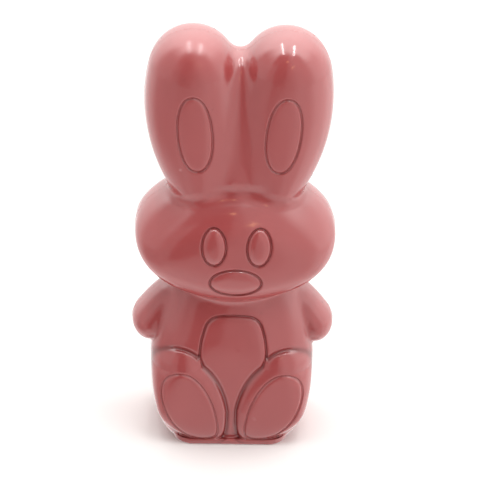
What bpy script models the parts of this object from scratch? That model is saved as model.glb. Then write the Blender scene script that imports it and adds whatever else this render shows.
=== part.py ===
"""A seated rabbit moulded in pink chocolate: one solid on a thin plinth.

Metres, +Z up, the face towards -Y. The figure is the same left and right of the plane x = 0. Its head,
ears, arms, legs and body are rounded forms that are fused, and the creases between them are softened as
a mould softens them. The fine outlines on the face, ears, belly and soles are then cut in.

While the forms are put together, y = 0 is the upright plane where the two halves of the mould meet. The
finished figure is moved so that its box is centred over the origin.
"""

import math
from dataclasses import dataclass

import bmesh
import bpy
import numpy as np
from mathutils import Matrix, Vector
from mathutils.bvhtree import BVHTree

MM = 0.001

# The thin plinth under the figure.
PLINTH_WIDTH = 40.5 * MM
PLINTH_DEPTH = 39.2 * MM
PLINTH_MIDDLE_Y = -0.65 * MM
PLINTH_THICKNESS = 2.0 * MM
PLINTH_CORNER = 7.0 * MM
PLINTH_CORNER_STEPS = 6

# The engraved outlines: half their width, and how many points go round one.
GROOVE_RADIUS = 0.5 * MM
OUTLINE_POINTS = 40
SMALL_OUTLINE_POINTS = 30

# How the fused surface is meshed and softened.
VOXEL = 0.9 * MM
EAR_SOFTENING = 40
HEAD_SOFTENING = 12
BODY_SOFTENING = 6
FACE_SHARE = 0.065

SPHERE_AROUND = 56
SPHERE_RINGS = 36

CHOCOLATE_COLOUR = (0.46, 0.125, 0.135, 1.0)
CHOCOLATE_ROUGHNESS = 0.3


@dataclass(frozen=True)
class Lobe:
    """A rounded block. A fullness above 2 squares up the ellipsoid, and a taper widens it upwards.

    Its depth along Y can follow fullnesses of its own, from its foot to its head.
    """

    centre: tuple
    radii: tuple
    fullness: float = 2.0
    taper: float = 0.0
    depth_fullness: tuple = ()


@dataclass(frozen=True)
class Egg:
    """A padded egg that stands in the XZ plane.

    Its outline is three tangent arcs: a round foot, a round tip, and sides of a wider radius. Its depth
    along Y follows a superellipse, whose fullness can change from foot to tip. Below the middle of its
    foot it can bend towards the figure's middle.
    """

    foot: tuple
    foot_radius: float
    tip: tuple
    tip_radius: float
    side_radius: float
    foot_depth: float
    tip_depth: float
    middle_y: float
    fullness: float
    tip_fullness: float = 0.0
    bend: float = 0.0


@dataclass(frozen=True)
class Oval:
    """An engraved ellipse in the XZ plane, leaning outwards by an angle in degrees, cut off level below."""

    centre: tuple
    half_width: float
    half_height: float
    lean: float = 0.0
    fullness: float = 2.0
    level: float = 0.0


HEAD = Lobe((0, 1.8 * MM, 76.9 * MM), (35.2 * MM, 23.5 * MM, 21.65 * MM), 2.0, 0.02, (5.0, 2.35))
NECK = Lobe((0, 0, 58.0 * MM), (14.2 * MM, 13.9 * MM, 12.0 * MM), 2.2)
TORSO = Lobe((0, 1.0 * MM, 29.6 * MM), (29.3 * MM, 20.1 * MM, 37.3 * MM), 2.7, 0.0, (5.5, 2.55))
TAIL = Lobe((0, 18.4 * MM, 15.5 * MM), (7.5 * MM, 6.6 * MM, 7.5 * MM))

EAR = Egg(
    foot=(13.25 * MM, 97.9 * MM), foot_radius=10.8 * MM,
    tip=(15.8 * MM, 134.6 * MM), tip_radius=15.7 * MM, side_radius=60.3 * MM,
    foot_depth=16.0 * MM, tip_depth=17.5 * MM, middle_y=1.2 * MM, fullness=2.45,
)
EAR_WEB = Egg(
    foot=(0.0, 100.0 * MM), foot_radius=10.9 * MM,
    tip=(0.0, 129.3 * MM), tip_radius=10.9 * MM, side_radius=400.0 * MM,
    foot_depth=14.1 * MM, tip_depth=9.5 * MM, middle_y=1.2 * MM, fullness=2.2,
)
ARM = Egg(
    foot=(28.45 * MM, 41.5 * MM), foot_radius=7.6 * MM,
    tip=(20.7 * MM, 49.05 * MM), tip_radius=8.6 * MM, side_radius=70.0 * MM,
    foot_depth=11.8 * MM, tip_depth=12.0 * MM, middle_y=-0.4 * MM, fullness=2.2,
)
LEG = Egg(
    foot=(13.3 * MM, 13.0 * MM), foot_radius=13.25 * MM,
    tip=(16.4 * MM, 29.0 * MM), tip_radius=12.5 * MM, side_radius=58.3 * MM,
    foot_depth=13.5 * MM, tip_depth=13.5 * MM, middle_y=-7.4 * MM, fullness=6.0, tip_fullness=2.1,
    bend=3.8 * MM,
)
BEND_REACH = 10.0 * MM

EYE = Oval((7.7 * MM, 79.2 * MM), 4.1 * MM, 6.7 * MM, 1.0)
MUZZLE = Oval((0.0, 65.65 * MM), 8.85 * MM, 5.0 * MM)
INNER_EAR = Oval((14.85 * MM, 117.95 * MM), 5.75 * MM, 13.4 * MM, 5.5, 2.2)
SOLE = Oval((15.0 * MM, 15.3 * MM), 8.2 * MM, 14.4 * MM, 23.6, 2.45, 2.8 * MM)

# The belly panel: its half width at heights from its rounded top down to the plinth.
BELLY_TOP = 50.7 * MM
BELLY_BOTTOM = 3.2 * MM
BELLY_WAIST_HEIGHT = 35.4 * MM
BELLY_HALF_WIDTH = 11.7 * MM
BELLY_TOP_HALF_WIDTH = 7.4 * MM
BELLY_BOTTOM_HALF_WIDTH = 1.7 * MM
BELLY_NARROWING = 0.6


def new_collection(name):
    """A collection in the scene."""
    collection = bpy.data.collections.new(name)
    bpy.context.scene.collection.children.link(collection)
    return collection


def chocolate():
    """The glossy pink chocolate."""
    material = bpy.data.materials.new("pink_chocolate")
    material.use_nodes = True
    shader = material.node_tree.nodes["Principled BSDF"]
    shader.inputs["Base Color"].default_value = CHOCOLATE_COLOUR
    shader.inputs["Roughness"].default_value = CHOCOLATE_ROUGHNESS
    shader.inputs["Metallic"].default_value = 0.0
    return material


def object_from_bmesh(name, mesh_data, collection):
    """Turn a bmesh into an object in a collection."""
    mesh = bpy.data.meshes.new(name)
    mesh_data.to_mesh(mesh)
    mesh_data.free()
    piece = bpy.data.objects.new(name, mesh)
    collection.objects.link(piece)
    return piece


def signed_power(value, exponent):
    """A power that keeps the sign of its base."""
    return math.copysign(abs(value) ** exponent, value)


def shaped_sphere(name, place, collection):
    """A UV sphere with its poles on the Y axis, each point moved by the function place."""
    sphere = bmesh.new()
    bmesh.ops.create_uvsphere(
        sphere, u_segments=SPHERE_AROUND, v_segments=SPHERE_RINGS, radius=1.0,
        matrix=Matrix.Rotation(math.radians(90), 4, "X"),
    )
    for vertex in sphere.verts:
        vertex.co = place(vertex.co.normalized())
    bmesh.ops.recalc_face_normals(sphere, faces=sphere.faces)
    return object_from_bmesh(name, sphere, collection)


def add_lobe(name, lobe, collection):
    """A rounded block as an object."""

    foot_power, head_power = lobe.depth_fullness or (lobe.fullness, lobe.fullness)

    def place(direction):
        """The point of the block in this direction."""
        across, lift, rise = (abs(part) for part in direction)
        spread = (across ** lobe.fullness + rise ** lobe.fullness) ** (1 / lobe.fullness)
        reach = max(spread, lift)
        for _ in range(5):
            share = min(max((direction.z / reach + 0.7) / 1.3, 0.0), 1.0)
            power = foot_power + (head_power - foot_power) * share * share * (3 - 2 * share)
            reach = (spread ** power + lift ** power) ** (1 / power)
        spot = Vector(r * part / reach for r, part in zip(lobe.radii, direction))
        spot.x *= 1 + lobe.taper * spot.z / lobe.radii[2]
        return Vector(lobe.centre) + spot

    return shaped_sphere(name, place, collection)


def egg_half_outline(egg, count=200):
    """The right half of an egg's outline, from the top of its tip to the bottom of its foot.

    The egg's axis runs up from its foot. Each row holds the share of the half's length, the height on
    the axis that the outline point grows from, and the step from there to it, across and along the axis.
    """
    length = math.dist(egg.foot, egg.tip)
    to_foot = egg.side_radius - egg.foot_radius
    to_tip = egg.side_radius - egg.tip_radius
    side_along = (to_foot ** 2 - to_tip ** 2 + length ** 2) / (2 * length)
    side_across = math.sqrt(to_foot ** 2 - side_along ** 2)
    foot_turn = math.atan2(-side_along, side_across)
    tip_turn = math.atan2(length - side_along, side_across)
    rows = []
    for turn in np.linspace(math.pi / 2, tip_turn, count):
        rows.append((length, egg.tip_radius * math.cos(turn), egg.tip_radius * math.sin(turn)))
    for turn in np.linspace(tip_turn, foot_turn, count)[1:-1]:
        reach = egg.side_radius - side_across / math.cos(turn)
        base = side_along + side_across * math.tan(turn)
        rows.append((base, reach * math.cos(turn), reach * math.sin(turn)))
    for turn in np.linspace(foot_turn, -math.pi / 2, count):
        rows.append((0.0, egg.foot_radius * math.cos(turn), egg.foot_radius * math.sin(turn)))
    table = np.array(rows)
    places = np.stack([table[:, 1], table[:, 2] + table[:, 0]], axis=1)
    steps = np.hypot(*np.diff(places, axis=0).T)
    shares = np.concatenate([[0.0], np.cumsum(steps)]) / steps.sum()
    return np.column_stack([shares, table])


def bent_in(egg, height):
    """How far an egg is bent towards the figure's middle at a height."""
    return egg.bend * (max(egg.foot[1] - height, 0.0) / BEND_REACH) ** 2


def add_egg(name, egg, side, collection):
    """A padded egg as an object, on the right (side 1) or mirrored to the left (side -1)."""
    outline = egg_half_outline(egg)
    foot = Vector(egg.foot)
    length = math.dist(egg.foot, egg.tip)
    up = (Vector(egg.tip) - foot) / length
    right = Vector((up.y, -up.x))

    def place(direction):
        """The point of the padded egg for this direction on the sphere."""
        flat = math.hypot(direction.x, direction.z)
        share = abs(math.atan2(direction.x, direction.z)) / math.pi if flat > 1e-6 else 0.5
        base, across, rise = (np.interp(share, outline[:, 0], outline[:, column]) for column in (1, 2, 3))
        power = egg.fullness + ((egg.tip_fullness or egg.fullness) - egg.fullness) * base / length
        inset = flat ** (2 / power)
        spot = foot + up * (base + rise * inset) + right * math.copysign(across, direction.x) * inset
        depth = egg.foot_depth + (egg.tip_depth - egg.foot_depth) * base / length
        y = egg.middle_y + depth * signed_power(direction.y, 2 / power)
        return Vector((side * (spot.x - bent_in(egg, spot.y)), y, spot.y))

    return shaped_sphere(name, place, collection)


def add_plinth(name, collection):
    """A thin plate with rounded corners, standing on z = 0."""
    plate = bmesh.new()
    bmesh.ops.create_cube(plate, size=1.0)
    bmesh.ops.scale(plate, vec=(PLINTH_WIDTH, PLINTH_DEPTH, PLINTH_THICKNESS), verts=plate.verts)
    bmesh.ops.translate(plate, vec=(0, PLINTH_MIDDLE_Y, PLINTH_THICKNESS / 2), verts=plate.verts)
    upright = [edge for edge in plate.edges if abs(edge.verts[0].co.z - edge.verts[1].co.z) > MM]
    bmesh.ops.bevel(
        plate, geom=upright, offset=PLINTH_CORNER, segments=PLINTH_CORNER_STEPS, affect="EDGES", profile=0.5,
    )
    return object_from_bmesh(name, plate, collection)


def applied(name, source, collection):
    """A new object that holds the evaluated mesh of the source, which is removed."""
    evaluated = source.evaluated_get(bpy.context.evaluated_depsgraph_get())
    piece = bpy.data.objects.new(name, bpy.data.meshes.new_from_object(evaluated))
    piece.matrix_world = source.matrix_world.copy()
    collection.objects.link(piece)
    bpy.data.objects.remove(source)
    return piece


def join(first, others, operation):
    """Give the first object a Boolean with every object of a collection."""
    boolean = first.modifiers.new(operation.capitalize(), "BOOLEAN")
    boolean.operation = operation
    boolean.operand_type = "COLLECTION"
    boolean.collection = others
    boolean.solver = "EXACT"


def fuse(name, pieces, softening, collection):
    """Fuse overlapping pieces into one closed skin and soften the creases between them."""
    others = new_collection(name + "_pieces")
    for piece in pieces[1:]:
        for owner in piece.users_collection:
            owner.objects.unlink(piece)
        others.objects.link(piece)
    join(pieces[0], others, "UNION")
    skin = pieces[0].modifiers.new("Even skin", "REMESH")
    skin.mode = "VOXEL"
    skin.voxel_size = VOXEL
    soft = pieces[0].modifiers.new("Soft creases", "SMOOTH")
    soft.factor = 0.5
    soft.iterations = softening
    fused = applied(name, pieces[0], collection)
    for piece in pieces[1:]:
        bpy.data.objects.remove(piece)
    bpy.data.collections.remove(others)
    return fused


def trimmed_on_plinth(figure, collection):
    """Cut the figure off level inside the plinth's thickness and fuse it with the plinth."""
    level = PLINTH_THICKNESS / 2
    below = bmesh.new()
    bmesh.ops.create_cube(below, size=1.0)
    bmesh.ops.scale(below, vec=(100 * MM, 100 * MM, 20 * MM), verts=below.verts)
    bmesh.ops.translate(below, vec=(0, 0, level - 10 * MM), verts=below.verts)
    tools = new_collection("foot_tools")
    floor = object_from_bmesh("below_plinth", below, tools)
    join(figure, tools, "DIFFERENCE")
    figure = applied("figure_trimmed", figure, collection)
    bpy.data.objects.remove(floor)
    plinth = add_plinth("plinth", tools)
    join(figure, tools, "UNION")
    figure = applied("figure_on_plinth", figure, collection)
    bpy.data.objects.remove(plinth)
    bpy.data.collections.remove(tools)
    return figure


def oval_outline(oval, side, count):
    """Points (x, z) evenly round an engraved ellipse."""
    lean = math.radians(oval.lean)
    points = []
    for index in range(count):
        angle = 2 * math.pi * index / count
        across = oval.half_width * signed_power(math.cos(angle), 2 / oval.fullness)
        rise = oval.half_height * signed_power(math.sin(angle), 2 / oval.fullness)
        x = oval.centre[0] + across * math.cos(lean) + rise * math.sin(lean)
        z = oval.centre[1] - across * math.sin(lean) + rise * math.cos(lean)
        points.append((side * x, max(z, oval.level)))
    return points


def belly_half_width(height):
    """Half the width of the belly panel at a height above the floor."""
    if height >= BELLY_WAIST_HEIGHT:
        share = (height - BELLY_WAIST_HEIGHT) / (BELLY_TOP - BELLY_WAIST_HEIGHT)
        return BELLY_HALF_WIDTH - (BELLY_HALF_WIDTH - BELLY_TOP_HALF_WIDTH) * share ** 2
    share = (BELLY_WAIST_HEIGHT - height) / (BELLY_WAIST_HEIGHT - BELLY_BOTTOM)
    narrowing = math.sin(share * math.pi / 2) ** BELLY_NARROWING
    return BELLY_HALF_WIDTH - (BELLY_HALF_WIDTH - BELLY_BOTTOM_HALF_WIDTH) * narrowing


def belly_outline():
    """Points (x, z) round the belly panel, which narrows between the legs."""
    heights = np.linspace(BELLY_BOTTOM, BELLY_TOP - 1.2 * MM, OUTLINE_POINTS // 2)
    right = [(belly_half_width(height), height) for height in heights]
    left = [(-x, z) for x, z in reversed(right)]
    crown = [(share * BELLY_TOP_HALF_WIDTH, BELLY_TOP) for share in (0.62, 0.2, -0.2, -0.62)]
    return right + crown + left


def engraving(name, outline, surface, collection):
    """A closed tube of the groove's width, laid along an outline on the front of the surface."""
    curve = bpy.data.curves.new(name, "CURVE")
    curve.dimensions = "3D"
    curve.bevel_depth = GROOVE_RADIUS
    curve.bevel_resolution = 0
    spline = curve.splines.new("POLY")
    spline.points.add(len(outline) - 1)
    spline.use_cyclic_u = True
    for point, (x, z) in zip(spline.points, outline):
        hit = surface.ray_cast(Vector((x, -100 * MM, z)), Vector((0, 1, 0)))[0]
        point.co = (hit.x, hit.y, hit.z, 1.0)
    guide = bpy.data.objects.new(name + "_guide", curve)
    collection.objects.link(guide)
    tube = applied(name, guide, collection)
    welded = bmesh.new()
    welded.from_mesh(tube.data)
    bmesh.ops.remove_doubles(welded, verts=welded.verts, dist=0.00001)
    bmesh.ops.recalc_face_normals(welded, faces=welded.faces)
    welded.to_mesh(tube.data)
    welded.free()
    tube.hide_render = True
    tube.display_type = "WIRE"
    return tube


def engrave(figure, cutters):
    """Cut the outlines of the face, ears, belly and soles into the figure."""
    figure_mesh = bmesh.new()
    figure_mesh.from_mesh(figure.data)
    surface = BVHTree.FromBMesh(figure_mesh)
    figure_mesh.free()
    for side, word in ((1, "right"), (-1, "left")):
        engraving("eye_" + word, oval_outline(EYE, side, SMALL_OUTLINE_POINTS), surface, cutters)
        engraving("inner_ear_" + word, oval_outline(INNER_EAR, side, OUTLINE_POINTS), surface, cutters)
        engraving("sole_" + word, oval_outline(SOLE, side, OUTLINE_POINTS), surface, cutters)
    engraving("muzzle", oval_outline(MUZZLE, 1, SMALL_OUTLINE_POINTS), surface, cutters)
    engraving("belly", belly_outline(), surface, cutters)
    join(figure, cutters, "DIFFERENCE")


def head_with_ears(collection):
    """The head and neck with the two ears, whose web and notch are softened most."""
    ears = [add_egg("ear", EAR, side, collection) for side in (1, -1)]
    ears.append(add_egg("ear_web", EAR_WEB, 1, collection))
    pair = fuse("ears", ears, EAR_SOFTENING, collection)
    pieces = [add_lobe("skull", HEAD, collection), pair, add_lobe("neck", NECK, collection)]
    return fuse("head_and_ears", pieces, HEAD_SOFTENING, collection)


def whole_figure(collection):
    """Head, body, arms, legs and tail as one skin with few faces."""
    pieces = [add_lobe("torso", TORSO, collection), head_with_ears(collection)]
    for side in (1, -1):
        pieces.append(add_egg("arm", ARM, side, collection))
        pieces.append(add_egg("leg", LEG, side, collection))
    pieces.append(add_lobe("tail", TAIL, collection))
    figure = fuse("figure", pieces, BODY_SOFTENING, collection)
    fewer = figure.modifiers.new("Fewer faces", "DECIMATE")
    fewer.ratio = FACE_SHARE
    return applied("figure_light", figure, collection)


def centred(figure):
    """Move the mesh so that its box is centred on x = 0 and y = 0, with its lowest point at z = 0."""
    corners = np.array([vertex.co for vertex in figure.data.vertices])
    low, high = corners.min(axis=0), corners.max(axis=0)
    middle = (low + high) / 2
    figure.data.transform(Matrix.Translation((-middle[0], -middle[1], -low[2])))


def build():
    """Model the rabbit."""
    for leftover in list(bpy.data.objects):
        bpy.data.objects.remove(leftover)
    parts = new_collection("chocolate_bunny")
    cutters = new_collection("engraving_tools")
    figure = trimmed_on_plinth(whole_figure(parts), parts)
    centred(figure)
    engrave(figure, cutters)
    bunny = applied("bunny", figure, parts)
    bunny.data.materials.clear()
    bunny.data.materials.append(chocolate())
    bunny.data.shade_smooth()
    bunny.data.set_sharp_from_angle(angle=math.radians(50))


build()
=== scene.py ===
"""The looks of a small rabbit moulded in pink chocolate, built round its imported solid.

The rabbit is one piece. Its ears, head, body, arms, legs and plinth are smooth forms, and each group of
forms is a class that holds its sizes in millimetres. A form says how far outside it a point lies, so
forms can be blended, engraved and joined by simple rules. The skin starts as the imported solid's surface.
It is meshed evenly, drawn onto the blended forms, and made finer where the engraved lines run.

While the forms are put together, y = 0 is the upright plane where the two halves of the mould meet. The
finished skin is centred over the origin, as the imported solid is.
"""

import logging
import math
from abc import ABC, abstractmethod
from dataclasses import dataclass, field
from enum import Enum
from typing import Callable

import bmesh
import bpy
import numpy as np
from mathutils import Matrix, Vector


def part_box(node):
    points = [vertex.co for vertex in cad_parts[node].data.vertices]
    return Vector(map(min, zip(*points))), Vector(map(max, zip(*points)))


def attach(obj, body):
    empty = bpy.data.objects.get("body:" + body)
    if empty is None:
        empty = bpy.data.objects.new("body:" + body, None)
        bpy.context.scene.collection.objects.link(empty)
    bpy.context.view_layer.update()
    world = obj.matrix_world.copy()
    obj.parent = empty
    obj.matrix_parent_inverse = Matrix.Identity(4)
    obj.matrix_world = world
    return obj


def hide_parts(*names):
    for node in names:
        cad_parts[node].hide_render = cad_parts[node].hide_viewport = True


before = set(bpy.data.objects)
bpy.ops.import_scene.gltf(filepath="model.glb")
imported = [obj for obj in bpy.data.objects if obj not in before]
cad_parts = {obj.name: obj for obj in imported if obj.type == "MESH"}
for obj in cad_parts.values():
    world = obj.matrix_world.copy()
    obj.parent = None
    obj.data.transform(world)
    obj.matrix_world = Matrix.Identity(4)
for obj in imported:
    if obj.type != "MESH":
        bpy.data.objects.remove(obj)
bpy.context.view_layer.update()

log = logging.getLogger("pink_rabbit")

MM = 0.001
FRAME_PIXELS = 480
# The skin attribute of painted shade: a darker colour laid into the engraved lines and leg creases.
PAINTED_SHADE_KEY = "painted_groove_shade"
HAZE = "haze"
TINY_SUM = 1e-12
TINY_SLOPE = 1e-9
FAR = 99.0

Array = np.ndarray
Surface = Callable[[Array], Array]
Socket = bpy.types.NodeSocket
Triple = tuple[float, float, float]
Pair = tuple[float, float]


def blended(first: Array, second: Array, fillet: Array | float) -> Array:
    """Join two forms with a soft fillet in the crease between them.

    Args:
        first: Distances of the points from one form.
        second: Distances of the same points from the other form.
        fillet: How far from the crease the fillet reaches, in millimetres, in all or for each point.

    Returns:
        Distances of the points from the joined form.
    """
    share = np.maximum(fillet - np.abs(first - second), 0.0) / fillet
    return np.minimum(first, second) - share ** 2 * fillet / 4


def trimmed(first: Array, second: Array, rounding: float) -> Array:
    """Keep what two forms share, with a rounded edge where they meet.

    Args:
        first: Distances of the points from one form.
        second: Distances of the same points from the other form.
        rounding: How far from the edge its rounding reaches, in millimetres.

    Returns:
        Distances of the points from what is left.
    """
    return -blended(-first, -second, rounding)


def smooth_share(values: Array, start: float, end: float) -> Array:
    """Rise smoothly from 0 at start to 1 at end."""
    share = np.clip((values - start) / (end - start), 0.0, 1.0)
    return share * share * (3 - 2 * share)


def rounded_sum(first: Array, second: Array, power: Array | float) -> Array:
    """Add two shares of a half size as a superellipse of that power does."""
    return (first ** power + second ** power + TINY_SUM) ** (1 / power)


def fill(node: bpy.types.Node, values: dict[str, float | tuple[float, ...]]) -> None:
    """Set inputs of a node by their names."""
    for name, value in values.items():
        node.inputs[name].default_value = value


def mirrored(points: Array) -> Array:
    """The same points seen in the plane x = 0."""
    return points * np.array([-1.0, 1.0, 1.0])


def right_side(points: Array) -> Array:
    """The points folded onto the rabbit's +X half, because it is the same on both sides."""
    return np.column_stack([np.abs(points[:, 0]), points[:, 1], points[:, 2]])


@dataclass(frozen=True)
class Block:
    """A rounded block: an ellipsoid that a fullness above 2 squares up, wider upwards with its taper.

    Its depth along Y can follow fullnesses of its own, from its foot to its head. Where that change starts
    and ends, and how far up and down the taper goes on, are shares of the block's half height.
    """

    centre: Triple
    radii: Triple
    fullness: float = 2.0
    taper: float = 0.0
    depth_fullness: Pair | None = None
    depth_change: Pair = (-0.7, 0.6)
    taper_reach: float = 1.3

    def distance(self, points: Array) -> Array:
        """How far outside the block each point lies.

        Args:
            points: Rows of x, y and z in millimetres.

        Returns:
            One distance a point, negative inside.
        """
        local = points - np.array(self.centre)
        rise = local[:, 2] / self.radii[2]
        width = self.radii[0] * (1 + self.taper * np.clip(rise, -self.taper_reach, self.taper_reach))
        across, lift = np.abs(local[:, 0]) / width, np.abs(local[:, 1]) / self.radii[1]
        rise_share = np.abs(rise)
        power = self.fullness
        foot_power, head_power = self.depth_fullness or (power, power)
        depth_power = foot_power + (head_power - foot_power) * smooth_share(rise, *self.depth_change)
        spread = rounded_sum(across, rise_share, power)
        reach = rounded_sum(spread, lift, depth_power)
        flat_slope = np.hypot((across / spread) ** (power - 1) / width,
                              (rise_share / spread) ** (power - 1) / self.radii[2])
        steepness = np.hypot((spread / reach) ** (depth_power - 1) * flat_slope,
                             (lift / reach) ** (depth_power - 1) / self.radii[1])
        return (reach - 1) / (steepness + TINY_SLOPE)


@dataclass(frozen=True)
class PaddedEgg:
    """A padded egg that stands in the XZ plane.

    Its outline is three tangent arcs: a round foot, a round tip, and sides of a wider radius. Its depth
    along Y follows a superellipse, whose fullness can change from foot to tip. Far inside, the steepness
    that its distances are worked out with stays above a share of the steepness at its rim.
    """

    foot: Pair
    foot_radius: float
    tip: Pair
    tip_radius: float
    side_radius: float
    foot_depth: float
    tip_depth: float
    middle_y: float
    fullness: float
    tip_fullness: float | None = None
    least_steepness: float = 0.5

    def distance(self, points: Array) -> Array:
        """How far outside the egg each point lies.

        Args:
            points: Rows of x, y and z in millimetres.

        Returns:
            One distance a point, negative inside.
        """
        length = math.dist(self.foot, self.tip)
        up = ((self.tip[0] - self.foot[0]) / length, (self.tip[1] - self.foot[1]) / length)
        to_foot = self.side_radius - self.foot_radius
        to_tip = self.side_radius - self.tip_radius
        side_along = (to_foot ** 2 - to_tip ** 2 + length ** 2) / (2 * length)
        side_across = math.sqrt(to_foot ** 2 - side_along ** 2)
        east = points[:, 0] - self.foot[0]
        north = points[:, 2] - self.foot[1]
        along = east * up[0] + north * up[1]
        across = np.abs(east * up[1] - north * up[0])
        base = side_along + (along - side_along) * side_across / (across + side_across)
        on_axis = np.clip(base, 0.0, length)
        half_width = self.side_radius - np.hypot(side_across, on_axis - side_along)
        flat = np.hypot(across + side_across, along - side_along) - self.side_radius
        flat = np.where(base < 0, np.hypot(across, along) - self.foot_radius, flat)
        flat = np.where(base > length, np.hypot(across, along - length) - self.tip_radius, flat)
        depth = self.foot_depth + (self.tip_depth - self.foot_depth) * on_axis / length
        spread = np.maximum(1 + flat / half_width, 0.0)
        lift = np.abs(points[:, 1] - self.middle_y) / depth
        power = self.fullness + ((self.tip_fullness or self.fullness) - self.fullness) * on_axis / length
        reach = rounded_sum(spread, lift, power)
        slope = np.hypot(spread ** (power - 1) / half_width, lift ** (power - 1) / depth)
        rim_steepness = self.least_steepness / np.maximum(half_width, depth)
        steepness = np.maximum(reach ** (1 - power) * slope, rim_steepness)
        return (reach - 1) / steepness


@dataclass(frozen=True)
class Cut:
    """How an engraved line is cut, how the field inside it swells, and how much painted shade darkens the
    line.
    """

    half_width: float
    depth: float
    swell: float = 0.0
    swell_reach: float = 2.0
    # How strong the painted shade in the line is.
    shade_strength: float = 1.0
    flank: float = 2.2

    def sink(self, offset: Array) -> Array:
        """How far the line sinks the surface.

        Args:
            offset: Distances from the line along the surface, negative inside the field.

        Returns:
            How far the surface goes in, in millimetres, negative where the field swells out.
        """
        inside = np.clip(-offset / self.swell_reach, 0.0, 1.0)
        return self.depth * self.share(offset) - self.swell * inside * (2 - inside)

    def share(self, offset: Array) -> Array:
        """How deep in the line each point lies, from 0 on the plain surface to 1 at the bottom."""
        return np.exp(-np.abs(offset / self.half_width) ** self.flank)

    def painted_shade_share(self, offset: Array) -> Array:
        """How much painted shade the line lays on each point, from 0 to 1."""
        return self.shade_strength * self.share(offset)


class EngravedLine(ABC):
    """A line engraved on the front, with the way in which it is cut."""

    cut: Cut

    @abstractmethod
    def offset(self, points: Array) -> Array:
        """How far outside the line's field each point lies when seen from the front."""

    def sink(self, points: Array) -> Array:
        """How far the line sinks the surface at each point, on the front alone."""
        return self.cut.sink(self.offset(points)) * (points[:, 1] < 0)

    def painted_shade_share(self, points: Array) -> Array:
        """How much painted shade the line lays on each point, from 0 to 1."""
        return self.cut.painted_shade_share(self.offset(points))


@dataclass(frozen=True)
class OvalLine(EngravedLine):
    """An engraved ellipse on the front, leaning outwards by an angle in degrees.

    It can be cut flat at a level height, with corners of the given rounding. Where it is whole, the level
    is far below the ground.
    """

    centre: Pair
    half_width: float
    half_height: float
    cut: Cut
    lean: float = 0.0
    fullness: float = 2.0
    level: float = -100.0
    corner: float = 2.0

    def offset(self, points: Array) -> Array:
        """How far outside the ellipse each point lies when seen from the front.

        Args:
            points: Rows of x, y and z in millimetres.

        Returns:
            One distance a point, negative inside.
        """
        lean = math.radians(self.lean)
        east = points[:, 0] - self.centre[0]
        north = points[:, 2] - self.centre[1]
        across = np.abs(east * math.cos(lean) - north * math.sin(lean)) / self.half_width
        rise = np.abs(east * math.sin(lean) + north * math.cos(lean)) / self.half_height
        power = self.fullness
        reach = rounded_sum(across, rise, power)
        steepness = np.hypot((across / reach) ** (power - 1) / self.half_width,
                             (rise / reach) ** (power - 1) / self.half_height)
        outside = (reach - 1) / (steepness + TINY_SLOPE)
        return trimmed(outside, self.level - points[:, 2], self.corner)


@dataclass(frozen=True)
class BellyLine(EngravedLine):
    """The engraved outline of the belly panel: two bowed sides under a flatter top with round corners.

    The legs hide its lower end.
    """

    widest_height: float = 35.4
    half_width: float = 11.7
    side_radius: float = 33.9
    top: float = 50.7
    top_radius: float = 42.0
    corner: float = 3.0
    cut: Cut = Cut(half_width=0.45, depth=0.65, swell=0.3, swell_reach=2.5)

    def offset(self, points: Array) -> Array:
        """How far outside the panel each point lies when seen from the front.

        Args:
            points: Rows of x, y and z in millimetres.

        Returns:
            One distance a point, negative inside.
        """
        across = np.abs(points[:, 0])
        height = np.maximum(points[:, 2], self.widest_height)
        side_middle = self.side_radius - self.half_width
        side = np.hypot(across + side_middle, height - self.widest_height) - self.side_radius
        crown = np.hypot(across, points[:, 2] - self.top + self.top_radius) - self.top_radius
        return trimmed(side, crown, self.corner)


@dataclass(frozen=True)
class Ears:
    """The two upright ears, with the web that fills the gap between them."""

    ear: PaddedEgg = PaddedEgg(
        foot=(13.25, 97.9), foot_radius=10.56, tip=(15.77, 134.64), tip_radius=15.45, side_radius=60.3,
        foot_depth=16.3, tip_depth=17.2, middle_y=1.2, fullness=2.45,
    )
    web: PaddedEgg = PaddedEgg(
        foot=(0.0, 100.0), foot_radius=10.92, tip=(0.0, 129.32), tip_radius=10.92, side_radius=400.0,
        foot_depth=14.9, tip_depth=9.53, middle_y=1.2, fullness=2.2,
    )
    inner: OvalLine = OvalLine(
        centre=(14.85, 117.95), half_width=5.74, half_height=13.43, lean=5.5, fullness=2.2,
        cut=Cut(half_width=0.42, depth=0.5, swell=0.12, shade_strength=0.6),
    )
    ear_fillet: float = 6.75
    web_fillet: float = 6.0

    def distance(self, points: Array) -> Array:
        """How far outside the ears each point lies.

        Args:
            points: Rows of x, y and z in millimetres, folded onto the +X half.

        Returns:
            One distance a point, negative inside.
        """
        near = self.ear.distance(points) + self.inner.sink(points)
        both = blended(near, self.ear.distance(mirrored(points)), self.ear_fillet)
        return blended(both, self.web.distance(points), self.web_fillet)


@dataclass(frozen=True)
class Head:
    """The broad head, with the outlines of its eyes and muzzle, and the neck under it."""

    skull: Block = Block(
        centre=(0.0, 1.8, 76.9), radii=(35.13, 23.4, 21.52), taper=0.02, depth_fullness=(5.0, 2.35),
    )
    neck: Block = Block(centre=(0.0, 0.0, 58.0), radii=(14.0, 13.7, 12.0), fullness=2.2)
    eye: OvalLine = OvalLine(
        centre=(7.69, 79.19), half_width=4.1, half_height=6.72, lean=1.0,
        cut=Cut(half_width=0.42, depth=0.62, swell=0.7, swell_reach=3.0),
    )
    muzzle: OvalLine = OvalLine(
        centre=(0.0, 65.65), half_width=8.85, half_height=5.0,
        cut=Cut(half_width=0.42, depth=0.62, swell=0.45, swell_reach=3.4),
    )

    def distance(self, points: Array) -> Array:
        """How far outside the skull each point of the +X half lies."""
        return self.skull.distance(points) + self.eye.sink(points) + self.muzzle.sink(points)


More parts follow.
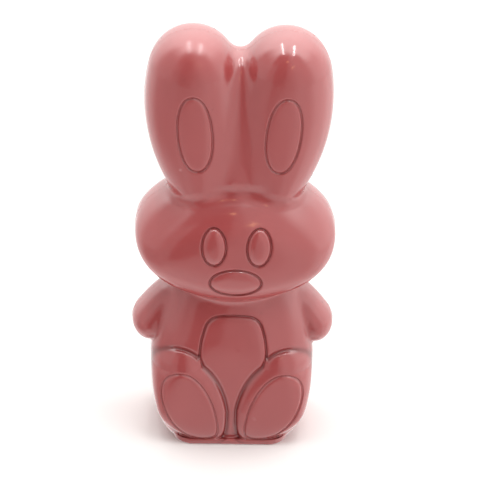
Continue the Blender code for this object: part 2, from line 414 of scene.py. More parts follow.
@dataclass(frozen=True)
class Body:
    """The torso with its belly panel, the two folded arms and the small tail."""

    torso: Block = Block(
        centre=(0.0, 1.0, 29.6), radii=(29.25, 20.0, 37.3), fullness=2.7, depth_fullness=(5.5, 2.55),
    )
    arm: PaddedEgg = PaddedEgg(
        foot=(28.46, 41.5), foot_radius=7.5, tip=(20.71, 49.05), tip_radius=8.47, side_radius=71.0,
        foot_depth=10.9, tip_depth=10.2, middle_y=0.0, fullness=2.3,
    )
    tail: Block = Block(centre=(0.0, 18.4, 15.5), radii=(7.5, 6.6, 7.5))
    belly: BellyLine = BellyLine()
    arm_fillet: float = 2.4
    arm_fold: Cut = Cut(half_width=1.5, depth=0.55)
    tail_fillet: float = 1.6

    def trunk(self, points: Array) -> Array:
        """How far outside the engraved torso each point of the +X half lies."""
        return self.torso.distance(points) + self.belly.sink(points)

    def distance(self, points: Array) -> Array:
        """How far outside the torso, arm and tail each point lies.

        Args:
            points: Rows of x, y and z in millimetres, folded onto the +X half.

        Returns:
            One distance a point, negative inside.
        """
        trunk = blended(self.trunk(points), self.tail.distance(points), self.tail_fillet)
        arm = self.arm.distance(points)
        return blended(trunk, arm, self.arm_fillet) + self.arm_fold.sink(arm - trunk)


@dataclass(frozen=True)
class Legs:
    """The two legs that reach forward, with the outlines of their soles and a crease round each."""

    leg: PaddedEgg = PaddedEgg(
        foot=(13.3, 13.0), foot_radius=13.2, tip=(16.4, 29.0), tip_radius=12.4, side_radius=58.3,
        foot_depth=13.4, tip_depth=13.4, middle_y=-7.37, fullness=6.0, tip_fullness=2.1,
    )
    sole: OvalLine = OvalLine(
        centre=(15.2, 15.2), half_width=8.15, half_height=14.25, lean=23.6, fullness=2.3, level=2.1,
        cut=Cut(half_width=0.38, depth=0.42, swell=0.2, swell_reach=1.6, shade_strength=0.4),
    )
    bend: float = 3.8
    sole_bend: float = 2.2
    bend_height: float = 13.0
    bend_reach: float = 10.0
    fillet: float = 0.4
    crease: Cut = Cut(half_width=0.5, depth=0.6)
    crease_fade: Pair = (19.0, 27.0)

    def unbent(self, points: Array, bend: float) -> Array:
        """The points moved outwards near the ground, by as much as a bend there takes them inwards."""
        drop = np.maximum(self.bend_height - points[:, 2], 0.0) / self.bend_reach
        return points + np.outer(bend * drop ** 2, [1.0, 0.0, 0.0])

    def sole_offset(self, points: Array) -> Array:
        """How far outside the sole's outline each point lies when seen from the front."""
        return self.sole.offset(self.unbent(points, self.sole_bend))

    def distance(self, points: Array) -> Array:
        """How far outside the leg each point of the +X half lies."""
        sunk = self.sole.cut.sink(self.sole_offset(points)) * (points[:, 1] < 0)
        return self.leg.distance(self.unbent(points, self.bend)) + sunk

    def joined_to(self, body: Array, points: Array) -> Array:
        """Join the legs to the body, with a pressed crease along the line where they meet.

        Args:
            body: Distances of the points from the body.
            points: Rows of x, y and z in millimetres, folded onto the +X half.

        Returns:
            Distances of the points from body and legs together.
        """
        leg = self.distance(points)
        shown = 1 - smooth_share(points[:, 0], *self.crease_fade)
        return blended(body, leg, self.fillet) + self.crease.sink(np.abs(leg - body)) * shown


@dataclass(frozen=True)
class Plinth:
    """The thin plate that the rabbit is moulded on, with rounded corners and softened rims."""

    half_width: float = 20.25
    half_depth: float = 19.6
    middle_y: float = -0.65
    thickness: float = 2.0
    corner: float = 7.0
    rim: float = 0.5

    def distance(self, points: Array) -> Array:
        """How far outside the plate each point lies.

        Args:
            points: Rows of x, y and z in millimetres.

        Returns:
            One distance a point, negative inside.
        """
        east = np.abs(points[:, 0]) - self.half_width + self.corner
        north = np.abs(points[:, 1] - self.middle_y) - self.half_depth + self.corner
        outside = np.hypot(np.maximum(east, 0.0), np.maximum(north, 0.0))
        outline = outside + np.minimum(np.maximum(east, north), 0.0) - self.corner
        return trimmed(outline, points[:, 2] - self.thickness, self.rim)


@dataclass(frozen=True)
class MouldJoin:
    """The fine bead and the slight step that the mould leaves where its two halves meet."""

    bead_half_width: float = 0.2
    bead_height: float = 0.13
    step: float = 0.05
    fade_in: Pair = (0.5, 3.0)

    def swell(self, points: Array) -> Array:
        """How far the surface stands out.

        Args:
            points: Rows of x, y and z in millimetres.

        Returns:
            One height a point, in millimetres.
        """
        bead = self.bead_height * np.exp(-(points[:, 1] / self.bead_half_width) ** 2)
        step = self.step * np.clip(-points[:, 1] / self.bead_half_width, -1.0, 1.0) / 2
        return (bead + step) * smooth_share(points[:, 2], *self.fade_in)


@dataclass(frozen=True)
class Pinholes:
    """Tiny open air bubbles, scattered over the skin."""

    count: int = 90
    smallest: float = 0.16
    largest: float = 0.34
    depth_share: float = 0.9
    reach: float = 3.0
    lowest: float = 3.0
    rarity_of_large: float = 2.5
    seed: int = 7

    def places(self, points: Array) -> tuple[Array, Array]:
        """Choose where the bubbles are.

        Args:
            points: The skin's points, in millimetres.

        Returns:
            The bubbles' middles, and their radii.
        """
        dice = np.random.default_rng(self.seed)
        above_rim = points[points[:, 2] > self.lowest]
        chosen = above_rim[dice.choice(len(above_rim), self.count, replace=False)]
        growth = dice.random(self.count) ** self.rarity_of_large
        radii = self.smallest + (self.largest - self.smallest) * growth
        return chosen, radii


@dataclass(frozen=True)
class HazyPatch:
    """A round patch of skin that handling has dulled, most in its core."""

    middle: Triple
    reach: float
    strength: float
    core_share: float = 0.2

    def share(self, points: Array) -> Array:
        """How dull each point is, from 0 where the skin keeps its gloss."""
        gap = np.linalg.norm(points - np.array(self.middle), axis=1)
        return self.strength * (1 - smooth_share(gap, self.core_share * self.reach, self.reach))


HAZY_PATCHES = (
    HazyPatch((-17.0, -12.0, 141.0), 24.0, 1.0),
    HazyPatch((15.0, -14.0, 129.0), 17.0, 0.6),
    HazyPatch((0.0, -8.0, 112.0), 17.0, 0.5),
    HazyPatch((26.0, 2.0, 142.0), 18.0, 0.8),
)


@dataclass
class Figure:
    """The whole moulded rabbit: its forms, the fillets between them, and the marks on its skin.

    The fillets are in millimetres. The brow's fillet changes to that of the ears' roots between the two
    distances of to_ear_root from the middle. The last fields say where painted shade darkens the skin in the
    lines and creases, and how near to them its mesh is fine.
    """

    ears: Ears = field(default_factory=Ears)
    head: Head = field(default_factory=Head)
    body: Body = field(default_factory=Body)
    legs: Legs = field(default_factory=Legs)
    plinth: Plinth = field(default_factory=Plinth)
    join: MouldJoin = field(default_factory=MouldJoin)
    pinholes: Pinholes = field(default_factory=Pinholes)
    hazy_patches: tuple[HazyPatch, ...] = HAZY_PATCHES
    brow_fillet: float = 3.2
    ear_root_fillet: float = 3.0
    neck_fillet: float = 5.5
    chin_fillet: float = 2.0
    plinth_fillet: float = 0.5
    foot_rim: float = 0.7
    to_ear_root: Pair = (8.0, 24.0)
    under_chin: float = 2.0
    front_from: float = -4.0
    crease_reach: float = 1.5
    belly_hidden_from: float = 0.9
    belly_hidden_growth: float = 9.0
    join_handicap: float = 0.3
    plinth_band: float = 0.1
    underside: float = 0.02
    underside_handicap: float = 0.6
    bubble_places: Array = field(default_factory=lambda: np.zeros((0, 3)))
    bubble_radii: Array = field(default_factory=lambda: np.zeros(0))

    def forms(self, points: Array) -> Array:
        """How far outside the blended forms each point lies, without the mould's marks.

        Args:
            points: Rows of x, y and z in millimetres, with the mould's joint at y = 0.

        Returns:
            One distance a point, negative inside.
        """
        side = right_side(points)
        neck = self.head.neck.distance(side)
        to_side = smooth_share(side[:, 0], *self.to_ear_root)
        root_fillet = self.brow_fillet + (self.ear_root_fillet - self.brow_fillet) * to_side
        top = blended(self.ears.distance(side), self.head.distance(side), root_fillet)
        top = blended(top, neck, self.neck_fillet)
        low = blended(self.body.distance(side), neck, self.neck_fillet)
        low = self.legs.joined_to(low, side)
        whole = blended(top, low, self.chin_fillet)
        whole = blended(whole, self.plinth.distance(points), self.plinth_fillet)
        return trimmed(whole, -points[:, 2], self.foot_rim)

    def surface(self, points: Array) -> Array:
        """How far outside the finished surface each point lies, with the mould's marks and the bubbles.

        Args:
            points: Rows of x, y and z in millimetres.

        Returns:
            One distance a point, negative inside.
        """
        distance = self.forms(points) - self.join.swell(points)
        for place, radius in zip(self.bubble_places, self.bubble_radii):
            near = np.abs(points[:, 2] - place[2]) < self.pinholes.reach * radius
            gap = np.sum((points[near] - place) ** 2, axis=1)
            distance[near] += self.pinholes.depth_share * radius * np.exp(-gap / radius ** 2)
        return distance

    def painted_groove_shade(self, points: Array) -> Array:
        """How much painted shade each point gets in the engraved lines and the creases.

        Args:
            points: Rows of x, y and z in millimetres.

        Returns:
            One share a point, from 0 on the plain skin to 1.
        """
        side = right_side(points)
        trunk, leg = self.body.distance(side), self.legs.distance(side)
        lines = (self.ears.inner, self.head.eye, self.head.muzzle)
        # Painted shade in each line on the front and in the crease round each leg.
        shares = [line.painted_shade_share(side) for line in lines]
        shares.append(self.legs.sole.cut.painted_shade_share(self.legs.sole_offset(side)))
        belly_shows = (leg > trunk) & (self.head.distance(side) > self.under_chin)
        shares.append(self.body.belly.painted_shade_share(side) * belly_shows)
        front = points[:, 1] < self.front_from
        crease = self.legs.crease.painted_shade_share(leg - trunk) * (leg < self.crease_reach)
        return np.maximum(np.max(shares, axis=0) * front, crease)

    def haze(self, points: Array) -> Array:
        """How dull the skin is at each point, from 0 to 1."""
        return np.minimum(np.sum([patch.share(points) for patch in self.hazy_patches], axis=0), 1.0)

    def line_offset(self, points: Array) -> Array:
        """How far each point lies from the nearest engraved line, crease, rim or joint.

        Args:
            points: Rows of x, y and z in millimetres.

        Returns:
            One distance a point, in millimetres.
        """
        side = right_side(points)
        front = np.where(points[:, 1] < 0, 0.0, FAR)
        trunk = self.body.distance(side)
        off_trunk = np.maximum(np.abs(trunk) - self.belly_hidden_from, 0.0)
        off_plinth = np.maximum(np.abs(self.plinth.distance(points)) - self.plinth_band, 0.0)
        offsets = [
            np.abs(self.ears.inner.offset(side)) + front,
            np.abs(self.head.eye.offset(side)) + front,
            np.abs(self.head.muzzle.offset(side)) + front,
            np.abs(self.body.belly.offset(side)) + front + off_trunk * self.belly_hidden_growth,
            np.abs(self.legs.sole_offset(side)) + front,
            np.hypot(trunk, self.legs.distance(side)),
            np.abs(points[:, 1]) + self.join_handicap,
            np.maximum(points[:, 2] - self.plinth.thickness, 0.0) + off_plinth
            + np.where(points[:, 2] < self.underside, self.underside_handicap, 0.0),
        ]
        return np.min(offsets, axis=0)


@dataclass
class Skin:
    """A fine triangle mesh that is drawn onto a surface."""

    surface: Surface
    points: Array
    triangles: Array
    flattest: float = 0.2

    @classmethod
    def started_from(cls, node: bpy.types.Object, voxel: float, shift: float, surface: Surface) -> "Skin":
        """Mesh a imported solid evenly, as a first rough skin.

        Args:
            node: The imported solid's object.
            voxel: The spacing of the even mesh, in millimetres.
            shift: How far along Y the mould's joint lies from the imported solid's y = 0, in millimetres.
            surface: The surface that the skin is drawn onto later.

        Returns:
            The rough skin, in millimetres.
        """
        copy = bpy.data.objects.new("rough_skin", node.data.copy())
        bpy.context.scene.collection.objects.link(copy)
        even = copy.modifiers.new("Even mesh", "REMESH")
        even.mode = "VOXEL"
        even.voxel_size = voxel * MM
        copy.modifiers.new("Triangles", "TRIANGULATE")
        evaluated = copy.evaluated_get(bpy.context.evaluated_depsgraph_get())
        mesh = evaluated.to_mesh()
        points = np.empty(len(mesh.vertices) * 3)
        mesh.vertices.foreach_get("co", points)
        corners = np.empty(len(mesh.polygons) * 3, dtype=np.int64)
        mesh.polygons.foreach_get("vertices", corners)
        evaluated.to_mesh_clear()
        bpy.data.objects.remove(copy)
        points = points.reshape(-1, 3) / MM - np.array([0.0, shift, 0.0])
        return cls(surface, points, corners.reshape(-1, 3))

    def slope(self, step: float = 0.02) -> Array:
        """The surface's outward direction at each point.

        Args:
            step: How far before and behind each point the surface is felt, in millimetres.

        Returns:
            One direction a point, not yet of unit length.
        """
        sides = []
        for axis in np.eye(3) * step:
            sides.append(self.surface(self.points + axis) - self.surface(self.points - axis))
        return np.column_stack(sides) / (2 * step)

    def draw_on(self, rounds: int, longest_step: float = 0.8) -> None:
        """Move the points along the surface's slope until they lie on it.

        Args:
            rounds: How many times each point steps.
            longest_step: The most that a point moves in one round, in millimetres.
        """
        for _ in range(rounds):
            slope = self.slope()
            gap = self.surface(self.points) / np.maximum(np.sum(slope ** 2, axis=1), self.flattest)
            reach = np.abs(gap) * np.linalg.norm(slope, axis=1)
            gap *= np.minimum(1.0, longest_step / np.maximum(reach, TINY_SLOPE))
            self.points = self.points - slope * gap[:, None]

    def even_out(self, rounds: int, strength: float = 0.5) -> None:
        """Slide the points along the surface towards the middle of their neighbours.

        Args:
            rounds: How many times the points slide.
            strength: The share of the way that a point slides in one round.
        """
        pairs = np.concatenate([self.triangles[:, corners] for corners in ([0, 1], [1, 2], [2, 0])])
        count = np.bincount(pairs[:, 0], minlength=len(self.points))
        for _ in range(rounds):
            middle = np.column_stack([
                np.bincount(pairs[:, 0], self.points[pairs[:, 1], axis], len(self.points)) / count
                for axis in range(3)
            ])
            normal = self.normals()
            pull = middle - self.points
            pull -= normal * np.sum(pull * normal, axis=1)[:, None]
            self.points = self.points + strength * pull

    def normals(self) -> Array:
        """The surface's outward unit direction at each point."""
        slope = self.slope()
        return slope / np.maximum(np.linalg.norm(slope, axis=1), TINY_SLOPE)[:, None]

    def refine(self, wanted: Array) -> None:
        """Cut every triangle with a wanted corner in four.

        Args:
            wanted: One truth value a point.
        """
        mesh = bpy.data.meshes.new("refining")
        mesh.from_pydata(self.points, [], self.triangles)
        working = bmesh.new()
        working.from_mesh(mesh)
        bpy.data.meshes.remove(mesh)
        working.verts.ensure_lookup_table()
        edges = {edge for index in np.flatnonzero(wanted) for face in working.verts[index].link_faces
                 for edge in face.edges}
        bmesh.ops.subdivide_edges(working, edges=list(edges), cuts=1, use_grid_fill=True)
        bmesh.ops.triangulate(working, faces=working.faces)
        working.verts.index_update()
        self.points = np.array([vertex.co for vertex in working.verts])
        self.triangles = np.array([[vertex.index for vertex in face.verts] for face in working.faces])
        working.free()

    def to_object(self, name: str, shift: float) -> bpy.types.Object:
        """Make the skin an object in metres, shaded by the surface's own normals.

        Args:
            name: The object's name.
            shift: How far the skin is moved along Y, in millimetres.

        Returns:
            The object, linked to the scene.
        """
        mesh = bpy.data.meshes.new(name)
        mesh.from_pydata((self.points + np.array([0.0, shift, 0.0])) * MM, [], self.triangles)
        mesh.shade_smooth()
        mesh.normals_split_custom_set_from_vertices(self.normals())
        piece = bpy.data.objects.new(name, mesh)
        bpy.context.scene.collection.objects.link(piece)
        return piece


@dataclass(frozen=True)
class PinkChocolate:
    """Glossy pink chocolate: cloudy colour, painted shade in the grooves, soft light under the skin."""

    slot: str = "pink_chocolate"
    light_pink: Triple = (0.364, 0.071, 0.071)
    deep_pink: Triple = (0.332, 0.060, 0.060)
    # The colour of the painted shade in the engraved lines and creases.
    painted_shade_pink: Triple = (0.20, 0.026, 0.026)
    roughness: Pair = (0.11, 0.15)
    hazy_roughness: float = 0.26
    refraction: float = 1.5
    gloss_level: float = 0.7
    under_skin: float = 0.12
    under_skin_reach: Triple = (2.2 * MM, 0.9 * MM, 0.7 * MM)
    cloud_scale: float = 45.0
    cloud_detail: float = 3.0
    grain_scale: float = 1500.0
    grain_detail: float = 2.0
    grain_strength: float = 0.06
    grain_height: float = 0.1 * MM

    def material(self) -> bpy.types.Material:
        """Build the material.

        Returns:
            The material, whose painted shade in the grooves and whose haze follow the skin's own attributes.
        """
        made = bpy.data.materials.new("glossy_pink_chocolate")
        made.use_nodes = True
        tree = made.node_tree
        nodes, links = tree.nodes, tree.links
        shader = nodes["Principled BSDF"]
        place = nodes.new("ShaderNodeTexCoord").outputs["Object"]

        clouds = nodes.new("ShaderNodeTexNoise")
        fill(clouds, {"Scale": self.cloud_scale, "Detail": self.cloud_detail})
        links.new(place, clouds.inputs["Vector"])
        grain = nodes.new("ShaderNodeTexNoise")
        fill(grain, {"Scale": self.grain_scale, "Detail": self.grain_detail})
        links.new(place, grain.inputs["Vector"])

        tint = nodes.new("ShaderNodeMix")
        tint.data_type = "RGBA"
        fill(tint, {"A": (*self.deep_pink, 1.0), "B": (*self.light_pink, 1.0)})
        links.new(clouds.outputs["Fac"], tint.inputs["Factor"])

        # Painted shade: the colour is mixed towards a darker pink in the engraved lines and creases.
        painted_shade_mask = nodes.new("ShaderNodeAttribute")
        painted_shade_mask.attribute_name = PAINTED_SHADE_KEY
        painted_shade_tint = nodes.new("ShaderNodeMix")
        painted_shade_tint.data_type = "RGBA"
        fill(painted_shade_tint, {"B": (*self.painted_shade_pink, 1.0)})
        links.new(painted_shade_mask.outputs["Fac"], painted_shade_tint.inputs["Factor"])
        links.new(tint.outputs["Result"], painted_shade_tint.inputs["A"])
        links.new(painted_shade_tint.outputs["Result"], shader.inputs["Base Color"])

        gloss = nodes.new("ShaderNodeMapRange")
        fill(gloss, {"To Min": self.roughness[0], "To Max": self.roughness[1]})
        links.new(clouds.outputs["Fac"], gloss.inputs["Value"])
        haze = nodes.new("ShaderNodeAttribute")
        haze.attribute_name = HAZE
        dulled = nodes.new("ShaderNodeMix")
        fill(dulled, {"B": self.hazy_roughness})
        links.new(haze.outputs["Fac"], dulled.inputs["Factor"])
        links.new(gloss.outputs["Result"], dulled.inputs["A"])
        links.new(dulled.outputs["Result"], shader.inputs["Roughness"])

        bump = nodes.new("ShaderNodeBump")
        fill(bump, {"Strength": self.grain_strength, "Distance": self.grain_height})
        links.new(grain.outputs["Fac"], bump.inputs["Height"])
        links.new(bump.outputs["Normal"], shader.inputs["Normal"])

        fill(shader, {"IOR": self.refraction, "Specular IOR Level": self.gloss_level})
        fill(shader, {"Subsurface Weight": self.under_skin, "Subsurface Radius": self.under_skin_reach,
                      "Subsurface Scale": 1.0})
        return made


@dataclass(frozen=True)
class Tabletop:
    """The plain white surface that the rabbit stands on, in metres.

    The gloss doesn't mirror it, because the mirrored room has a lower half of its own.
    """

    half_width: float = 2.0
    front: float = -2.0
    back: float = 3.0
    paint: Triple = (0.82, 0.81, 0.80)
    roughness: float = 0.8
    gloss_level: float = 0.2

    def build(self) -> bpy.types.Object:
        """Make the surface and link it to the scene.

        Returns:
            The surface's object, linked to the scene.
        """
        mesh = bpy.data.meshes.new("tabletop")
        corners = [(x, y, 0.0) for x, y in (
            (-self.half_width, self.front), (self.half_width, self.front),
            (self.half_width, self.back), (-self.half_width, self.back),
        )]
        mesh.from_pydata(corners, [], [(0, 1, 2, 3)])
        top = bpy.data.objects.new("tabletop", mesh)
        bpy.context.scene.collection.objects.link(top)
        paint = bpy.data.materials.new("white_card")
        paint.use_nodes = True
        shader = paint.node_tree.nodes["Principled BSDF"]
        fill(shader, {"Base Color": (*self.paint, 1.0), "Roughness": self.roughness,
                      "Specular IOR Level": self.gloss_level})
        mesh.materials.append(paint)
        top.visible_glossy = False
        return top


@dataclass(frozen=True)
class Panel:
    """A part of the surroundings between two azimuths and two elevations, with soft edges.

    Angles are in degrees. Azimuth 0 is the side that the rabbit faces, and azimuths grow towards +X. The
    panel's strength takes the place of what it covers. Each edge has a width of its own, over which it
    fades, and stands half faded at the angle given.
    """

    azimuths: Pair
    elevations: Pair
    strength: float
    azimuth_softness: Pair
    elevation_softness: Pair


@dataclass(frozen=True)
class Room:
    """Light that comes from all directions: a ramp by elevation in degrees, with panels laid over it."""

    by_elevation: tuple[Pair, ...]
    panels: tuple[Panel, ...]


MIRRORED_ROOM = Room(
    by_elevation=(
        (-90.0, 1.1), (-72.0, 1.3), (-62.0, 2.2), (-45.0, 1.6), (-30.0, 1.4), (-12.0, 1.4),
        (0.0, 1.7), (20.0, 2.4), (30.0, 3.1), (45.0, 4.3), (60.0, 4.9), (75.0, 5.3), (90.0, 5.0),
    ),
    panels=(
        Panel((-112.0, -48.0), (-4.0, 58.0), 1.2, (30.0, 30.0), (10.0, 36.0)),
        Panel((56.0, 118.0), (-6.0, 42.0), 2.4, (30.0, 30.0), (16.0, 24.0)),
        Panel((8.0, 58.0), (-40.0, 72.0), 1.3, (20.0, 30.0), (16.0, 24.0)),
        Panel((-50.0, 12.0), (-30.0, 77.0), 0.72, (24.0, 16.0), (16.0, 26.0)),
        Panel((-100.0, -38.0), (-38.0, -4.0), 0.78, (30.0, 20.0), (16.0, 8.0)),
        Panel((54.0, 125.0), (-45.0, -8.0), 2.1, (30.0, 30.0), (16.0, 12.0)),
        Panel((-45.0, -2.0), (36.0, 64.0), 0.3, (14.0, 8.0), (10.0, 14.0)),
        Panel((-27.0, -1.0), (-23.0, 44.0), 0.12, (5.0, 1.2), (5.0, 6.0)),
    ),
)
SOFT_ROOM = Room(
    by_elevation=((0.0, 1.8), (30.0, 1.5), (60.0, 1.6), (90.0, 2.6)),
    panels=(
        Panel((-135.0, -55.0), (-90.0, 50.0), 1.2, (25.0, 25.0), (1.0, 18.0)),
        Panel((50.0, 135.0), (-90.0, 60.0), 1.9, (25.0, 25.0), (1.0, 18.0)),
        Panel((-60.0, 45.0), (-90.0, 60.0), 0.4, (20.0, 20.0), (1.0, 12.0)),
    ),
)


class Sum(Enum):
    """The sums that the room's tree works out, by Blender's names for them."""

    TIMES = "MULTIPLY"
    PLUS = "ADD"
    TURN_OF = "ARCTAN2"
    RISE_OF = "ARCSINE"
    IN_DEGREES = "DEGREES"


@dataclass(frozen=True)
class RoomTree:
    """The world's node tree, to which the rooms' light is added piece by piece."""

    tree: bpy.types.NodeTree

    def worked_out(self, what: Sum, first: Socket, second: Socket | float = 0.0) -> Socket:
        """Add one sum.

        Args:
            what: What is worked out.
            first: The first value.
            second: The second value, for sums that need it.

        Returns:
            The result's socket.
        """
        node = self.tree.nodes.new("ShaderNodeMath")
        node.operation = what.value
        self.tree.links.new(first, node.inputs[0])
        self.give(second, node.inputs[1])
        return node.outputs[0]

    def mixed(self, share: Socket, first: Socket, second: Socket | float) -> Socket:
        """Add a mix of two values.

        Args:
            share: The second value's share.
            first: The first value.
            second: The second value.

        Returns:
            The result's socket.
        """
        mix = self.tree.nodes.new("ShaderNodeMix")
        self.tree.links.new(share, mix.inputs["Factor"])
        self.tree.links.new(first, mix.inputs["A"])
        self.give(second, mix.inputs["B"])
        return mix.outputs["Result"]

    def give(self, value: Socket | float, place: Socket) -> None:
        """Set an input to a number, or link a socket to it.

        Args:
            value: The number or the socket.
            place: The input.
        """
        if isinstance(value, float):
            place.default_value = value
        else:
            self.tree.links.new(value, place)

    def window(self, angle: Socket, between: Pair, softness: Pair) -> Socket:
        """Add a value that is 1 between two angles and falls off softly round them.

        Args:
            angle: The angle's socket, in degrees.
            between: Where the value is half, below and above.
            softness: How wide the rise and the fall are, in degrees.

        Returns:
            The result's socket.
        """
        edges = []
        for edge, width, side in ((between[0], softness[0], 1.0), (between[1], softness[1], -1.0)):
            step = self.tree.nodes.new("ShaderNodeMapRange")
            step.interpolation_type = "SMOOTHSTEP"
            fill(step, {"From Min": edge - side * width / 2, "From Max": edge + side * width / 2})
            self.tree.links.new(angle, step.inputs["Value"])
            edges.append(step.outputs["Result"])
        return self.worked_out(Sum.TIMES, *edges)

    def ramp(self, elevation: Socket, stops: tuple[Pair, ...]) -> Socket:
        """Add a strength that follows the elevation alone.

        Args:
            elevation: The elevation's socket, in degrees.
            stops: Pairs of an elevation in degrees and the strength there.

        Returns:
            The strength's socket.
        """
        level: Socket | None = None
        for (low, dim), (high, bright) in zip(stops, stops[1:]):
            rise = self.tree.nodes.new("ShaderNodeMapRange")
            start, end = (dim, bright) if level is None else (0.0, bright - dim)
            fill(rise, {"From Min": low, "From Max": high, "To Min": start, "To Max": end})
            self.tree.links.new(elevation, rise.inputs["Value"])
            part = rise.outputs["Result"]
            level = part if level is None else self.worked_out(Sum.PLUS, level, part)
        return level

    def strength(self, room: Room, azimuth: Socket, elevation: Socket) -> Socket:
        """Add a room's light.

        Args:
            room: The room.
            azimuth: The azimuth's socket, in degrees.
            elevation: The elevation's socket, in degrees.

        Returns:
            The strength's socket.
        """
        light = self.ramp(elevation, room.by_elevation)
        for panel in room.panels:
            share = self.worked_out(
                Sum.TIMES,
                self.window(azimuth, panel.azimuths, panel.azimuth_softness),
                self.window(elevation, panel.elevations, panel.elevation_softness),
            )
            light = self.mixed(share, light, panel.strength)
        return light


@dataclass(frozen=True)
class Surroundings:
    """The room round the rabbit, as the gloss mirrors it and as it lights the matt surfaces."""

    mirrored: Room = MIRRORED_ROOM
    soft: Room = SOFT_ROOM
    tint: Triple = (1.0, 0.98, 0.97)

    def build(self) -> None:
        """Light the world by direction, and show plain white to the camera."""
        world = bpy.data.worlds.new("surroundings")
        bpy.context.scene.world = world
        world.use_nodes = True
        nodes, links = world.node_tree.nodes, world.node_tree.links
        tree = RoomTree(world.node_tree)
        split = nodes.new("ShaderNodeSeparateXYZ")
        links.new(nodes.new("ShaderNodeTexCoord").outputs["Generated"], split.inputs["Vector"])
        toward = tree.worked_out(Sum.TIMES, split.outputs["Y"], -1.0)
        azimuth = tree.worked_out(Sum.IN_DEGREES, tree.worked_out(Sum.TURN_OF, split.outputs["X"], toward))
        elevation = tree.worked_out(Sum.IN_DEGREES, tree.worked_out(Sum.RISE_OF, split.outputs["Z"]))
        ray = nodes.new("ShaderNodeLightPath")
        soft, mirrored = (tree.strength(room, azimuth, elevation) for room in (self.soft, self.mirrored))
        light = tree.mixed(ray.outputs["Is Glossy Ray"], soft, mirrored)
        shown = tree.mixed(ray.outputs["Is Camera Ray"], light, 1.0)
        links.new(shown, nodes["Background"].inputs["Strength"])
        fill(nodes["Background"], {"Color": (*self.tint, 1.0)})


@dataclass(frozen=True)
class TubeLamp:
    """A long straight lamp overhead, seen in the gloss as a thin streak. Its places are in metres."""

    name: str
    middle: Triple
    length: float
    width: float
    power: float
    colour: Triple = (1.0, 1.0, 1.0)
    roll: float = 0.0
    aim: Triple = (0.0, 0.0, 0.1)

    def build(self) -> bpy.types.Object:
        """Hang the lamp along Y, shining at the rabbit's upper half, rolled by its angle in degrees.

        Returns:
            The lamp's object, linked to the scene.
        """
        light = bpy.data.lights.new(self.name, "AREA")
        light.shape = "RECTANGLE"
        light.size = self.width
        light.size_y = self.length
        light.energy = self.power
        light.color = self.colour
        lamp = bpy.data.objects.new(self.name, light)
        aim = Vector(self.aim) - Vector(self.middle)
        across = Vector((0.0, 1.0, 0.0)).cross(-aim).normalized()
        along = (-aim).normalized().cross(across)
        turn = Matrix((across, along, -aim.normalized())).transposed().to_4x4()
        rolled = Matrix.Rotation(math.radians(self.roll), 4, "Z")
        lamp.matrix_world = Matrix.Translation(self.middle) @ turn @ rolled
        lamp.visible_camera = False
        bpy.context.scene.collection.objects.link(lamp)
        return lamp


LAMPS = (
    TubeLamp("tube_over_left", (-0.22, 0.06, 1.41), 0.96, 0.05, 3.0),
    TubeLamp("tube_over_right", (0.31, -0.07, 1.41), 0.87, 0.05, 3.5),
    TubeLamp("warm_lamp_high", (-0.02, -0.80, 0.97), 0.09, 0.03, 0.09, (1.0, 0.5, 0.22), -15.0),
    TubeLamp("warm_lamp_low", (0.23, -1.0, 0.72), 0.20, 0.025, 0.18, (1.0, 0.5, 0.22), -8.0),
)


@dataclass(frozen=True)
class PhotoCamera:
    """The camera, held above the front and looking down at the rabbit.

    Its angles are in degrees, its distance, target and sensor in millimetres, and its sight in metres.
    """

    elevation: float = 26.0
    azimuth: float = -2.1
    roll: float = 1.83
    distance: float = 650.0
    pixels_per_mm: float = 2.84
    target: Triple = (1.84, 0.0, 72.0)
    sensor: float = 36.0
    sight: float = 20.0

    def build(self, shift: float) -> bpy.types.Object:
        """Place the camera and make it the scene's.

        Args:
            shift: How far the finished skin was moved along Y, in millimetres.

        Returns:
            The camera's object.
        """
        high, turn, roll = (math.radians(angle) for angle in (self.elevation, self.azimuth, self.roll))
        back = Vector((math.sin(turn) * math.cos(high), -math.cos(turn) * math.cos(high), math.sin(high)))
        level_right = Vector((0, 0, 1)).cross(back).normalized()
        level_up = back.cross(level_right)
        right = level_right * math.cos(roll) + level_up * math.sin(roll)
        up = level_up * math.cos(roll) - level_right * math.sin(roll)
        place = Vector(self.target) + Vector((0.0, shift, 0.0)) + back * self.distance
        lens = bpy.data.cameras.new("camera")
        lens.sensor_width = self.sensor
        lens.lens = self.sensor * self.pixels_per_mm * self.distance / FRAME_PIXELS
        lens.clip_end = self.sight
        camera = bpy.data.objects.new("camera", lens)
        camera.matrix_world = Matrix.Translation(place * MM) @ Matrix((right, up, back)).transposed().to_4x4()
        bpy.context.scene.collection.objects.link(camera)
        bpy.context.scene.camera = camera
        return camera


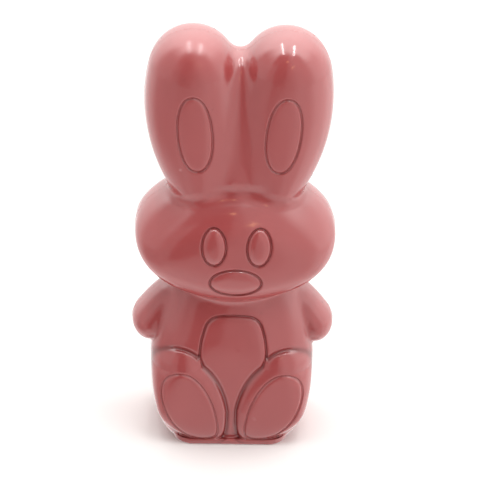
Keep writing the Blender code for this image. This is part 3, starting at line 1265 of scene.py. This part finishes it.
@dataclass(frozen=True)
class SkinPlan:
    """How fine the skin is, and where, in millimetres, and in how many rounds it settles."""

    voxel: float = 1.08
    near_line: float = 1.45
    at_line: float = 0.88
    settling: int = 4
    draws: int = 2
    slides: int = 3
    last_draws: int = 3
    last_slides: int = 2
    name: str = "moulded_rabbit"

    def build(self, figure: Figure) -> tuple[bpy.types.Object, float]:
        """Make the rabbit's skin.

        Args:
            figure: The rabbit's forms.

        Returns:
            The skin's object, and how far it was moved along Y to be centred, in millimetres.
        """
        tail_back = figure.body.tail.centre[1] + figure.body.tail.radii[1]
        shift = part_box("bunny")[1].y / MM - tail_back
        skin = Skin.started_from(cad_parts["bunny"], self.voxel, shift, figure.forms)
        for _ in range(self.settling):
            skin.draw_on(self.draws)
            skin.even_out(self.slides)
        skin.draw_on(self.draws)
        figure.bubble_places, figure.bubble_radii = figure.pinholes.places(skin.points)
        skin.surface = figure.surface
        for band in (self.near_line, self.at_line):
            skin.refine(figure.line_offset(skin.points) < band)
            skin.draw_on(self.draws)
        skin.even_out(self.last_slides)
        skin.draw_on(self.last_draws)
        low, high = skin.points[:, 1].min(), skin.points[:, 1].max()
        shift = -(low + high) / 2
        piece = skin.to_object(self.name, shift)
        # The painted shade of the lines and creases, and the haze, are kept on the skin as attributes.
        marks = {PAINTED_SHADE_KEY: figure.painted_groove_shade(skin.points), HAZE: figure.haze(skin.points)}
        for mark, values in marks.items():
            piece.data.attributes.new(mark, "FLOAT", "POINT").data.foreach_set("value", values)
        log.info("%s: %d triangles, moved %.2f mm", self.name, len(skin.triangles), shift)
        return piece, shift


def main() -> None:
    """Build the figure, its finish, the stage and the camera."""
    logging.basicConfig(level=logging.INFO, format="%(name)s: %(message)s")
    finish = PinkChocolate()
    piece, shift = SkinPlan().build(Figure())
    piece.data.materials.append(finish.material())
    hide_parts("bunny")
    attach(piece, "root")
    log.info("%s dressed in %s", piece.name, finish.slot)
    Tabletop().build()
    Surroundings().build()
    for lamp in LAMPS:
        lamp.build()
    PhotoCamera().build(shift)
    bpy.context.scene.view_settings.view_transform = "Standard"


if __name__ == "__main__":
    main()
